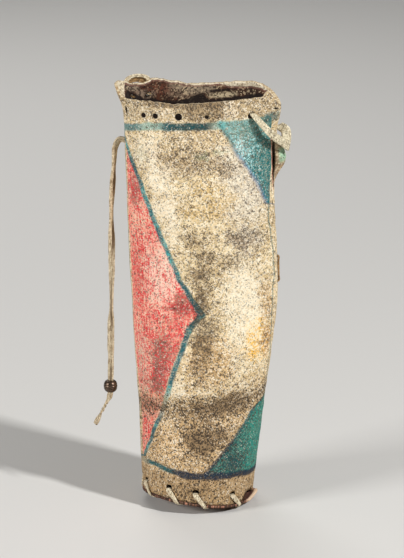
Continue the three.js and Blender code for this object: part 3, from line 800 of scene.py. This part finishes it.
def hideInside():
    made, shader, uv = surface("bare_hide")
    hue = hues(bareHide)
    turn = axis(uv, 0) * 360
    flat = stretched(uv, girth, flatTall)
    down = stored(flat, "down")
    fine = grain(flat, 1.4, 3, 0.75)
    blotch = grain(flat, 12, 3, 0.6)
    salt, pepper, _ = cells(flat, 1.2)
    rough = (grain(flat, 7, 3) - 0.5) * 3
    ragged = down + rough
    colour = mixed(rise(blotch, 0.4, 0.6), hue["brown"], hue["dun"])
    place = joined(turn * perDegree, down)
    for *oval, shade, tint in bareHide["spots"]:
        colour = mixed(spread(place, rough * 0.4, *oval) * tint, colour, tone(*shade))
    salted = rise(salt, 0.7, 0.8) * (0.66 - 0.4 * rise(turn, 108, 122))
    colour = mixed(salted, colour, hue["salt"])
    colour = mixed(rise(pepper, 0.58, 0.7) * 0.8, colour, hue["pepper"])
    # painted shade over a crumple in the back wall
    slitTurn, slitDown = bareHide["slit"]
    slit = band((turn - slitTurn) * perDegree, 10, 2) * band(down - slitDown + rough * 0.3, 1.3, 0.5)
    colour = mixed(slit * 0.9, colour, hue["slit"])
    # painted shade inside the mouth, from shadeFrom down, half as dark deeper in
    shadeBrown = ragged - charted(turn, bareHide["shadeFrom"], chartSpan, 100)
    colour = mixed(rise(shadeBrown, -1, 1) * (1 - rise(shadeBrown, 16, 40) * 0.5) * 0.94, colour, hue["shadeBrown"])
    lip = 1 + 3.4 * band(turn - 40, 20, 9) + 14 * band(turn - 178, 9, 3)
    ivory = mixed(salt, hue["ivory"], hue["white"])
    ivory = mixed(rise(pepper, 0.74, 0.82) * 0.7, ivory, hue["mark"])
    colour = mixed(1 - rise(ragged - lip, -0.4, 0.4), colour, ivory)
    colour = mixed(band(ragged - lip - 0.9, 0.8, 0.5) * 0.35, colour, hue["pink"])
    finished(shader, colour, 0.62 + fine * 0.25, fine + blotch, 0.8)
    return made


def cutEdge():
    made, shader, uv = surface("cut_edge")
    hue = hues(bareHide)
    flat = stretched(uv, girth, flatTall)
    fine = grain(flat, 1.4, 3, 0.7)
    colour = mixed(rise(fine, 0.4, 0.62), hue["cut"], hue["cutBrown"])
    # painted shade on cut faces from 3 mm under the rim down to the foot, so holes, slits and the tear look
    # dark inside
    holeShadeShare = rise(stored(flat, "down"), 3, 4) * rise(axis(uv, 1) * flatTall, 14, 16)
    colour = mixed(holeShadeShare * 0.85, colour, hue["holeShade"])
    finished(shader, colour, 0.6 + fine * 0.3, fine, 0.5)
    return made


rimHoles = {
    "row": 364.6,
    "holes": [(211.5, 4.5), (224, 5), (248, 6.4), (277, 3.6)],  # turn, size
    "slits": [(190.5, 367, 1.4, 3.6), (351, 368, 3, 0.7), (351.7, 281.5, 0.7, 2.5)],
}
tear = {
    "left": [(297, 354.5), (342, 347.5)],  # heights, and turns there
    "right": [(297, 355.1), (343, 353.5)],
    "curl": {"out": 12.5, "height": 320, "reach": 23, "from": -9, "full": 7},
}
lace = {
    "turns": [202, 238, 267, 308, 391, 424, 458, 491, 525],
    "above": 8.2,  # its holes over the foot
    "slant": 9.6,  # degrees on, at the base's edge
    "lag": 3,  # degrees on from there, at its hole in the base
    "holeRadius": 43.5,
    "hole": (1.8, 3.1, 2.6),  # how far over the strand, and reach both ways
    "width": 4.6,
}
seam = {
    "turn": 374,
    "starts": [42, 97, 152, 207],
    "stitch": 23,
    "clear": 5.2,  # from a hole to where the strand lies flat
    "forward": {"by": 15, "height": 218, "reach": 60},  # the top stitch comes forward
    "hole": 2.4, "width": 3.6,
}
tie = {
    "front": (325, 365), "back": (31, 359.5),
    "side": (0, 331.5, 12.3),  # turn, height and distance out of its lowest point
    "inner": 6,  # its ends, inside the wall
    "narrow": 0.6,  # share of its width at the front hole
    "frontLay": [(5, 6, 5, 0.8), (16, 18, 9, 0.95)],  # degrees on, mm down and off the wall, share
    "backLay": (6, 10, 3),
    "frontHole": (-1, -0.8, 4, 2.7),  # place from its strand, and reach both ways
    "backHole": 3.5, "width": 7, "thickness": 2,
}
loop = {
    "first": (162, 373.5), "second": (144, 375), "crown": 390.8, "rim": 383,
    "lie": 5,  # how far over its holes it lies along the wall
    "inner": 2.5, "hole": 2, "width": 3.4,
}
hang = {
    "turn": 181, "height": 337.5, "hole": 2.4, "width": 6.4, "steps": 150,
    "route": [  # mm to the right of the hole, and above it
        (7, 0), (0, 0), (-5.5, 0.4), (-9.2, -6), (-10.4, -20), (-13, -58), (-13.4, -105),
        (-14.6, -175), (-15.4, -222), (-16.2, -239), (-21, -250), (-29.5, -267),
    ],
    "shares": [  # of the width
        (0, 0.85), (0.83, 0.95), (0.862, 0.42), (0.955, 0.42), (0.975, 0.8), (0.99, 0.8), (1, 0.6),
    ],
    "twists": [  # mm below the hole, and degrees
        (0, 20), (10, 45), (24, 66), (30, 60), (36, 38), (46, 44), (56, 54), (63, 66), (73, 66),
        (82, 48), (92, 14), (102, 0), (114, -28), (125, -38), (134, -58), (146, -68), (158, -66),
        (165, -46), (171, -16), (194, -20), (201, -45), (222, -42), (240, -50),
    ],
    "tail": {"twist": 540, "from": 0.86, "full": 0.96},  # below the bead
    "groove": [  # mm along, and strength of the painted shade in the strip's fold
        (0, 0), (38, 0.1), (44, 0.85), (58, 0.8), (66, 0.1), (84, 0.1), (92, 0.9), (112, 0.9),
        (122, 0.2), (140, 0.2), (156, 0.7), (178, 0.9), (192, 0.4), (222, 0.1), (228, 0.8),
        (240, 0.7), (246, 0.1), (300, 0),
    ],
}


def seamAt(height):
    forward = seam["forward"]
    return seam["turn"] - forward["by"] * bump(abs(height - forward["height"]), forward["reach"])


def hideHoles():  # turn, height, and reach both ways
    over, *laceReach = lace["hole"]
    on, above, *tieReach = tie["frontHole"]
    holes = [(turn, rimHoles["row"], size / 2, size / 2) for turn, size in rimHoles["holes"]]
    holes += rimHoles["slits"]
    holes += [(turn % 360, footHeight(turn) + lace["above"] + over, *laceReach) for turn in lace["turns"]]
    stitches = [start + far for start in seam["starts"] for far in (0, seam["stitch"])]
    for tall in stitches:
        holes += [(seamAt(tall) - layer, tall, seam["hole"], seam["hole"]) for layer in (0, 360)]
    holes += [(tie["front"][0] + on, tie["front"][1] + above, *tieReach)]
    holes += [(*tie["back"], tie["backHole"], tie["backHole"])]
    holes += [(*loop[end], loop["hole"], loop["hole"]) for end in ("first", "second")]
    return holes + [(hang["turn"], hang["height"], hang["hole"], hang["hole"])]


def makeHide():
    tuck, curl = hideSheet["tuck"], tear["curl"]
    mesh = grid(hideSheet["columns"], hideSheet["rows"], tuck + girth + hideSheet["margin"])
    for vert in mesh.verts:
        vert.co.x -= tuck
        turn = vert.co.x / perDegree
        low, high = footHeight(turn) + raggedBy(turn, *hideSheet["footRagged"]), rimHeight(turn)
        vert.co.y = low + (high - low) * vert.co.y
    punched(mesh, [(turn * perDegree, *rest) for turn, *rest in hideHoles()])
    slashed(mesh, tear["left"], tear["right"])
    down = mesh.verts.layers.float.new("down")
    for vert in mesh.verts:
        vert[down] = rimHeight(vert.co.x / perDegree) - vert.co.y

    def place(co):
        tucked = -hideSheet["under"] * (1 - smooth(co.x, *hideSheet["untucked"]))
        cut = [follow(tear[side], co.y) * perDegree for side in ("left", "right")]
        lip = curl["out"] * bump(abs(co.y - curl["height"]), curl["reach"])
        lip *= smooth(co.x, girth + curl["from"], girth + curl["full"]) * (co.x > sum(cut) / 2)
        return wall(co.x / perDegree, co.y, tucked + lip)

    mapped(mesh, lambda co: (co.x / girth, co.y / flatTall), place)
    looks = [hideOutside(), hideInside(), cutEdge()]
    return dressed("hide", mesh, looks, "hide_tube", "painted_hide", hideSheet["thickness"],
                   material_offset=1, material_offset_rim=2)


makeHide()


# the base
def baseHide():
    made, shader, uv = surface("base_hide")
    hue = hues(base)
    flat = stretched(uv, base["flatSize"], base["flatSize"])
    fine = grain(flat, 1.6, 3, 0.7)
    blotch = grain(flat, 13, 3, 0.6)
    far = flat.node("VectorMath", {0: flat}, out=1, operation="LENGTH")
    colour = mixed(rise(blotch, 0.38, 0.62), hue["tan"], hue["brown"])
    # the frayed edge: pink flecks on dark brown, darkened as painted shade under the hide's foot
    frayedAndShaded = mixed(rise(grain(flat, 2.4, 3, 0.7), 0.4, 0.5), hue["pink"], hue["shadeBrown"])
    colour = mixed(rise(far + (blotch - 0.5) * 6, 46, 50.5) * 0.9, colour, frayedAndShaded)
    # painted shade on the ring under the hide's foot, seen through the bite and under the edge
    colour = mixed(band(far - 43, 6.5, 2) * 0.7, colour, hue["insideShade"])
    colour = mixed(rise(fine, 0.56, 0.66) * 0.6, colour, hue["pepper"])
    colour = mixed((1 - rise(fine, 0.34, 0.42)) * 0.45, colour, hue["pale"])
    fromCurl = flat.node("VectorMath", {0: flat, 1: (51, -14, 0)}, out=1, operation="DISTANCE")
    curl = 1 - rise(fromCurl, 9, 15)
    colour = mixed(curl * rise(far, 46, 50) * 0.8, colour, hue["curl"])
    lip = 1 - rise(stored(flat, "inset") + (fine - 0.5) * 2, 0.5, 1.1)
    colour = mixed(curl * lip, colour, hue["lip"])
    finished(shader, colour, 0.6 + fine * 0.25, fine + blotch, 0.8)
    return made


def makeBase():
    mesh = grid(base["columns"], base["rows"])
    fray = base["fray"]

    def flat(co):
        spot = around(co.x * 360, edgeRadius(co.x * 360) * co.y, 0)
        return spot.x / base["flatSize"], spot.y / base["flatSize"]

    def place(co):
        turn = co.x * 360
        radius = co.y * (base["radius"] if co.y < base["curl"]["outer"] else edgeRadius(turn))
        ragged = smooth(radius, fray["from"], fray["full"])
        ragged *= raggedBy(turn, fray["size"], fray["seed"], 1)
        height = baseRise(turn, radius) + half + ragged * fray["up"]
        return around(turn, radius + ragged * fray["out"], height)

    inset = mesh.verts.layers.float.new("inset")
    for vert in mesh.verts:
        vert[inset] = edgeRadius(vert.co.x * 360) * (1 - vert.co.y)
    mapped(mesh, flat, place, weld=True)
    return dressed("base", mesh, [baseHide()], "base_disc", "base_hide", hideSheet["thickness"])


makeBase()


# thongs
thong = {
    "thickness": 1.4, "columns": 6,
    "bow": 1.2,  # mm that its edges bend back
    "ragged": 0.12, "raggedSize": 7,
    "flatLength": 100,  # mm to one of its flat coordinates, along
    "flatWidth": 5, "grooveShadeTone": (84, 58, 28),
    "groovePlace": 3.3,  # across its flat width
    "grooveSpan": 300,  # the length of the chart of its groove
    "tones": {  # light, dark
        "pale_thong": ((228, 214, 186), (182, 160, 124)),
        "brown_thong": ((176, 142, 96), (112, 82, 50)),
        "grey_thong": ((222, 212, 184), (174, 158, 126)),
        "dry_thong": ((228, 210, 178), (140, 114, 80)),
    },
}


def thongLook(name, spots=0.7, groove=None):
    made, shader, uv = surface(name)
    light, dark = thong["tones"][name]
    flat = stretched(uv, thong["flatLength"], thong["flatWidth"])
    fibre = grain(stretched(flat, 0.16, 1.6), 1, 3, 0.65)
    fine = grain(flat, 1.3, 3, 0.7)
    salt, pepper, _ = cells(flat, 1)

    def scaled(shade, share):
        return tone(*[min(c * share, 252) for c in shade])

    colour = mixed(rise(fibre, 0.36, 0.64), tone(*light), tone(*dark))
    colour = mixed(rise(salt, 0.6, 0.9) * spots, colour, scaled(light, 1.14))
    colour = mixed(rise(pepper, 0.68, 0.98) * spots, colour, scaled(dark, 0.5))
    colour = mixed(rise(fine, 0.56, 0.66) * 0.6, colour, scaled(dark, 0.6))
    colour = mixed((1 - rise(fine, 0.36, 0.44)) * 0.4, colour, scaled(light, 1.12))
    if groove:
        # painted shade along the fold of the strip
        grooveShade = band(axis(flat, 1) - thong["groovePlace"] + (fibre - 0.5) * 3, 1, 0.5)
        grooveShade = grooveShade * charted(axis(flat, 0), groove, thong["grooveSpan"], 1)
        colour = mixed(grooveShade, colour, tone(*thong["grooveShadeTone"]))
    finished(shader, colour, 0.58 + fine * 0.25, fibre + fine * 0.6, 0.5)
    return made


def curved(stops, share):  # a smooth line through stops
    n = len(stops) - 1
    k = min(int(share * n), n - 1)
    w = share * n - k
    p1, p2 = stops[k], stops[k + 1]
    p0 = stops[k - 1] if k else p1 * 2 - p2
    p3 = stops[k + 2] if k + 2 <= n else p2 * 2 - p1
    d0, d1, d2 = [math.sqrt((b - a).length) for a, b in ((p0, p1), (p1, p2), (p2, p3))]
    m1 = ((p1 - p0) / d0 - (p2 - p0) / (d0 + d1) + (p2 - p1) / d1) * d1
    m2 = ((p2 - p1) / d1 - (p3 - p1) / (d1 + d2) + (p3 - p2) / d2) * d1
    ease = 3 * w**2 - 2 * w**3
    return p1 * (1 - ease) + p2 * ease + m1 * (w**3 - 2 * w**2 + w) + m2 * (w**3 - w**2)


def heading(stops, share, near):  # the way along a smooth line
    return curved(stops, min(share + near, 1)) - curved(stops, max(share - near, 0))


def lined(stops, perStop):  # along a thong: place, way on, way its outer face looks, share of its width
    steps = (len(stops) - 1) * perStop
    spots = [stop[0] for stop in stops]
    shares = [(k, stop[2] if len(stop) > 2 else 1) for k, stop in enumerate(stops)]
    line = []
    for i in range(steps + 1):
        k = min(i // perStop, len(stops) - 2)
        along = heading(spots, i / steps, 0.001)
        face = stops[k][1].normalized().lerp(stops[k + 1][1].normalized(), i / perStop - k)
        face = (face - face.project(along)).normalized()
        line.append((curved(spots, i / steps), along.normalized(), face, follow(shares, i / perStop)))
    return line


def strip(name, line, width, material, node, thickness=thong["thickness"]):
    steps = len(line) - 1
    gone = measured([stop[0] for stop in line])
    mesh = grid(steps, thong["columns"])

    def place(co):
        k = round(co.x * steps)
        spot, along, face, share = line[k]
        edge = noise.noise((gone[k] / thong["raggedSize"], width * (1 if co.y > 0.5 else 3), 0.4))
        side = co.y - 0.5
        reach = side * width * share * (1 + thong["ragged"] * edge)
        return spot + face.cross(along) * reach - face * (side * side * thong["bow"])

    mapped(mesh, lambda co: (gone[round(co.x * steps)] / thong["flatLength"], co.y), place)
    return dressed(name, mesh, [material], node, "thong", thickness)


def innerFace(turn):
    lap, tucked = 10, 30  # mm short of the girth and past its start, where the hide is double
    along = turn % 360 * perDegree
    return -half - (hideSheet["under"] if along > girth - lap or along < tucked else 0)


def crossing(turn, height, bend, side):  # straight through the wall
    out = outward(turn, height)
    inside, outside = innerFace(turn) - 1, half + 1
    return [(wall(turn, height, inside), bend + out * side), (wall(turn, height, outside), bend + out)]


def laceStops(turn):  # out through the wall, down over the base's edge, and up through it
    edge = turn + lace["slant"]
    hole = footHeight(turn) + lace["above"]
    top = edge + lace["lag"]
    far, low = edgeRadius(edge), baseRise(edge, edgeRadius(edge))
    radius = lace["holeRadius"]
    ground = baseRise(top, radius)
    outer, inner = around(edge, 1, 0), around(top, -1, 0)

    def strand(share):
        tall = hole + (low + half - hole) * share
        spot = wall(turn + lace["slant"] * share, tall, half + layOff + 0.3)
        return spot, outward(turn, hole), 1 - 0.3 * share

    return [
        (wall(turn - 2.5, hole - 6.5, innerFace(turn) - layOff - 0.2), -outward(turn, hole)),
        *crossing(turn, hole, up, -1),
        strand(0.35),
        strand(0.75),
        (around(edge, far + 0.5, low + half), outer, 0.6),
        (around(edge + 0.7, far - 1.2, low - 0.7), outer - up, 0.55),
        (around(edge + 2, far - 3.5, baseRise(edge + 2, far - 3.5) - 1.6), -up),
        (around(top, radius + 0.6, ground - layOff), inner - up),
        (around(top, radius - 0.2, ground + 2 * half + layOff), inner),
        (around(top + 3, radius - 0.6, ground + 7.2), inner),
    ]


def seamStops(start):
    end, clear = start + seam["stitch"], seam["clear"]
    inside, outside = innerFace(seam["turn"]) - layOff - 0.3, half + layOff

    def lie(height, out):
        return wall(seamAt(height), height, out), outward(seamAt(height), height)

    return [
        lie(start - clear, inside),
        *crossing(seamAt(start), start, -up, 1),
        lie(start + clear, outside),
        lie(end - clear, outside),
        *crossing(seamAt(end), end, up, 1)[::-1],
        lie(end + clear, inside),
    ]


def tieStops():
    (turn, tall), (backTurn, backTall) = tie["front"], tie["back"]
    front, back, right = outward(turn, tall), outward(backTurn, backTall), Vector((1, 0, 0))
    side, inner, outer = wall(*tie["side"]), -half - tie["inner"], half + layOff
    short, below, off = tie["backLay"]
    frontLay = [(wall(turn + on, tall - down, outer + far), front, share)
                for on, down, far, share in tie["frontLay"]]
    return [
        (wall(turn, tall, inner), up, tie["narrow"]),
        *[(*stop, tie["narrow"]) for stop in crossing(turn, tall, up, 0)],
        *frontLay,
        (side + Vector((-3, -6, 4)), front + right, 1.12),
        (side, right, 1.12),
        (side + Vector((-1.5, 6, 6)), Vector((0.5, -1, 0)), 1.25),
        (side + Vector((-2.5, 9, 13)), Vector((0.4, -1, 0)), 1.25),
        (wall(backTurn - short, backTall - below, outer + off), back),
        *crossing(backTurn, backTall, up, 0)[::-1],
        (wall(backTurn, backTall, inner), up),
    ]


def loopStops(sink, behind, wide):  # sink lowers its crown, and behind moves it off the wall
    (first, low), (second, high) = loop["first"], loop["second"]
    middle, crown, lay = (first + second) / 2, loop["crown"] - sink, half + layOff + behind
    inner = -half - loop["inner"]

    def over(turn, height):
        spot = wall(turn, loop["rim"], lay)
        spot.z = height
        return spot

    return [
        (wall(first, low, inner), -up),
        *crossing(first, low, -up, 0),
        (wall(first, low + loop["lie"], lay), outward(first, low)),
        (over(first + 2, crown - 4), outward(first, low), 1.2),
        (over(middle + 6, crown), outward(middle, low), wide),
        (over(middle - 5, crown), outward(middle, low), wide),
        (over(second - 1, crown - 2.5), outward(second, low)),
        (wall(second, high + loop["lie"], lay), outward(second, low)),
        *crossing(second, high, -up, 0)[::-1],
        (wall(second, high, inner), -up),
    ]


cream, brown, grey = [thongLook(name) for name in ("pale_thong", "brown_thong", "grey_thong")]
laceStrip = [stop for turn in lace["turns"] for stop in laceStops(turn)]
strip("base_lace", lined(laceStrip, 5), lace["width"], cream, "base_lacing")
seamStrip = [stop for start in seam["starts"] for stop in seamStops(start)]
strip("seam_lace", lined(seamStrip, 5), seam["width"], brown, "seam_lacing")
strip("corner_tie_thong", lined(tieStops(), 8), tie["width"], grey, "corner_tie", tie["thickness"])
strip("rim_loop_thong", lined(loopStops(0, 0, 0.8), 8), loop["width"], cream, "rim_loop")
strip("rim_loop_turn", lined(loopStops(3.6, 1.6, 1.5), 8), loop["width"], brown, None)


# the hanging thong and its bead
def makeHang():
    hole, front, tail = wall(hang["turn"], hang["height"]), Vector((0, -1, 0)), hang["tail"]
    spots = [hole + Vector((x, 0, z)) for x, z in hang["route"]]
    line = []
    for i in range(hang["steps"] + 1):
        share = i / hang["steps"]
        spot = curved(spots, share)
        along = heading(spots, share, 0.002).normalized()
        twist = math.radians(follow(hang["twists"], hole.z - spot.z))
        twist += math.radians(tail["twist"]) * smooth(share, tail["from"], tail["full"])
        face = front * math.cos(twist) + front.cross(along) * math.sin(twist)
        line.append((spot, along, face, follow(hang["shares"], share)))
    look = thongLook("dry_thong", 0.25, hang["groove"])
    piece = strip("hanging_strip", line, hang["width"], look, "hanging_thong")
    return piece, [stop[0] * mm for stop in line], look


bead = {
    "radius": 6.2, "length": 11, "bore": 2,
    "mouth": 0.6,  # the flat ring at each end
    "share": 0.857,  # its place along the thong
    "columns": 48, "rows": 64,
    "outside": 0.75,  # the share of its rows outside, the rest being in its bore
    "roundness": 2.2,
    "score": {"place": 1.4, "reach": 0.6, "depth": 0.25},
    "metallic": 0.8, "specular": 0.5, "flatSize": (40, 20),
    "tones": {"brown": (104, 86, 72), "dark": (58, 46, 38)},
}


def beadLook():
    made, shader, uv = surface("bead_metal", bead["specular"])
    hue = hues(bead)
    flat = stretched(uv, *bead["flatSize"])
    fine = grain(flat, 1.5, 3, 0.6)
    colour = mixed(rise(fine, 0.4, 0.65), hue["brown"], hue["dark"])
    shader.inputs["Metallic"].default_value = bead["metallic"]
    finished(shader, colour, 0.22 + fine * 0.22, fine, 0.12)
    return made


def makeBead(path):
    lengths = measured(path)
    k = next(i for i, length in enumerate(lengths) if length >= bead["share"] * lengths[-1])
    spot, along = path[k] / mm, (path[k + 1] - path[k - 1]).normalized()
    turnTo = up.rotation_difference(-along)
    mesh = grid(bead["columns"], bead["rows"])
    bore, mouth, score, outside = bead["bore"], bead["mouth"], bead["score"], bead["outside"]

    def place(co):
        angle = 2 * math.pi * co.x
        if co.y < outside:  # up the outside, then back through the bore
            s = co.y / outside * 2 - 1
            tall = s * bead["length"] / 2
            bulge = math.sqrt(max(1 - abs(s) ** bead["roundness"], 0))
            radius = bore + mouth + (bead["radius"] - bore - mouth) * bulge
            scored = [bump(abs(tall - side * score["place"]), score["reach"]) for side in (1, -1)]
            radius -= score["depth"] * sum(scored)
        else:
            share = (co.y - outside) / (1 - outside)
            tall = bead["length"] / 2 * (1 - 2 * share)
            radius = bore + mouth if share == 1 else bore
        return spot + turnTo @ Vector((radius * math.cos(angle), radius * math.sin(angle), tall))

    mapped(mesh, lambda co: (co.x, co.y), place, weld=True)
    return dressed("scored_bead", mesh, [beadLook()], "bead", "bead_metal")


knot = {
    "radius": 3.2,
    "inside": 3.7,  # its middle, in from the wall's inner face
    "squash": 0.8, "groove": 0.16, "grooveReach": 0.9, "flatSize": (20, 6),
}


def makeKnot(look):
    mesh = bmesh.new()
    uv = mesh.loops.layers.uv.new("flat")
    bmesh.ops.create_icosphere(mesh, subdivisions=3, radius=knot["radius"])
    centre = wall(hang["turn"], hang["height"]) + Vector((half + knot["inside"], 0, 0))
    for face in mesh.faces:
        for corner in face.loops:
            corner[uv].uv = (corner.vert.co.x / knot["flatSize"][0], corner.vert.co.z / knot["flatSize"][1])
    for vert in mesh.verts:
        groove = 1 - knot["groove"] * bump(abs(vert.co.z + vert.co.y * 0.5), knot["grooveReach"])
        vert.co = (centre + Vector((vert.co.x * knot["squash"], vert.co.y, vert.co.z)) * groove) * mm
    return dressed("inner_knot", mesh, [look], None, "thong")


hung, hungPath, hungLook = makeHang()
hungBead = makeBead(hungPath)
hungKnot = makeKnot(hungLook)
hungLength = measured(hungPath)[-1]
wall(hang["turn"], hang["height"]) * mm

# floor
floorSheet = {"size": 12, "tone": (214, 212, 208), "roughness": 0.9}
floorMesh = bmesh.new()
bmesh.ops.create_grid(floorMesh, x_segments=1, y_segments=1, size=floorSheet["size"])
floorData = bpy.data.meshes.new("floor")
floorMesh.to_mesh(floorData)
floorMesh.free()
floor = bpy.data.objects.new("floor", floorData)
floorLook = bpy.data.materials.new("floor")
floorLook.use_nodes = True
floorShader = floorLook.node_tree.nodes["Principled BSDF"]
floorShader.inputs["Base Color"].default_value = tone(*floorSheet["tone"])
floorShader.inputs["Roughness"].default_value = floorSheet["roughness"]
floorData.materials.append(floorLook)
scene.collection.objects.link(floor)
print("floor made")
